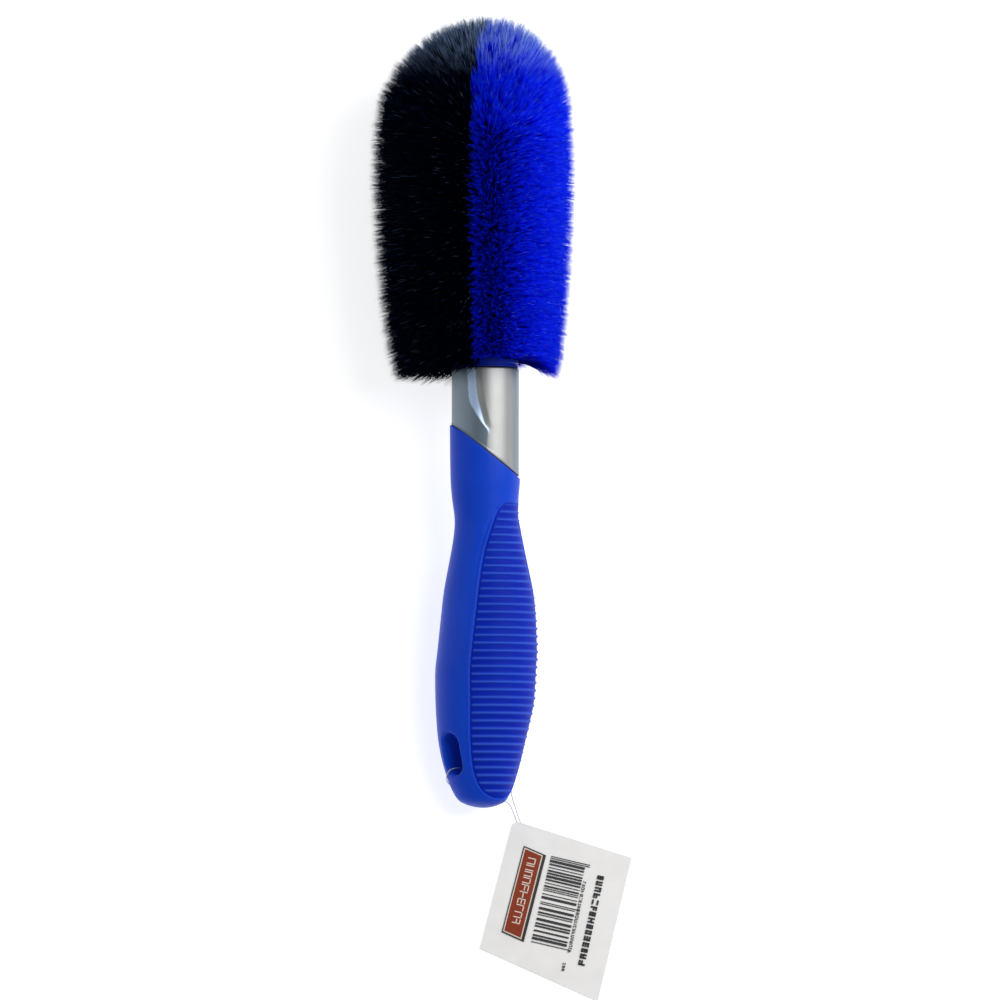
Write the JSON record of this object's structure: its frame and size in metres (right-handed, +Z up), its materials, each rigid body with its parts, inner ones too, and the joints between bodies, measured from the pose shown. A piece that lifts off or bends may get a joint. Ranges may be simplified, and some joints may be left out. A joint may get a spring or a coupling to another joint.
{
  "type": "wheel brush",
  "caption": "Hand-held wheel brush with a domed radial bristle head in black and blue, a silver collar and a ribbed soft grip with a hang slot and a swing label.",
  "frame": {"origin": "on the surface the brush lies on, under the centre of its box, measured without the label and its loop", "axes": "+Y along the brush from the butt of the handle towards the head, +Z up, +X to the right; the axis of the brush climbs about 7 degrees towards the head"},
  "size_m": [0.0922, 0.3452, 0.0766],
  "materials": {
    "blue_grip": "satin",
    "rib_rubber": "matte",
    "core_plastic": "matte",
    "silver": "satin metallic paint",
    "head_plastic": "glossy",
    "pin_steel": "satin",
    "black_bristle": "fine filament",
    "blue_bristle": "fine filament",
    "nylon": "translucent",
    "label_paper": "matte paper"
  },
  "bodies": {
    "brush": {"handle_core": "core_plastic", "grip_sleeve": "blue_grip", "rib_pad": "rib_rubber", "collar": "silver", "head_core": "head_plastic", "lock_pin": "pin_steel", "bristle_black_1": "black_bristle", "bristle_black_2": "black_bristle", "bristle_black_3": "black_bristle", "bristle_black_4": "black_bristle", "bristle_black_5": "black_bristle", "bristle_black_6": "black_bristle", "bristle_black_7": "black_bristle", "bristle_black_8": "black_bristle", "bristle_blue_1": "blue_bristle", "bristle_blue_2": "blue_bristle", "bristle_blue_3": "blue_bristle", "bristle_blue_4": "blue_bristle", "bristle_blue_5": "blue_bristle", "bristle_blue_6": "blue_bristle", "bristle_blue_7": "blue_bristle", "bristle_blue_8": "blue_bristle", "crown_black": "black_bristle", "crown_blue": "blue_bristle", "tag_loop": "nylon", "loop_knot": "nylon"},
    "tag": {"tag_front": "label_paper", "tag_back": "label_paper"}
  },
  "joints": [
    {"name": "tag_swing", "type": "hinge", "parent": "brush", "child": "tag", "pos_m": [0.0172, -0.1466, 0.00105], "axis": [0, 0, 1], "range_deg": [-50, 45]}
  ]
}
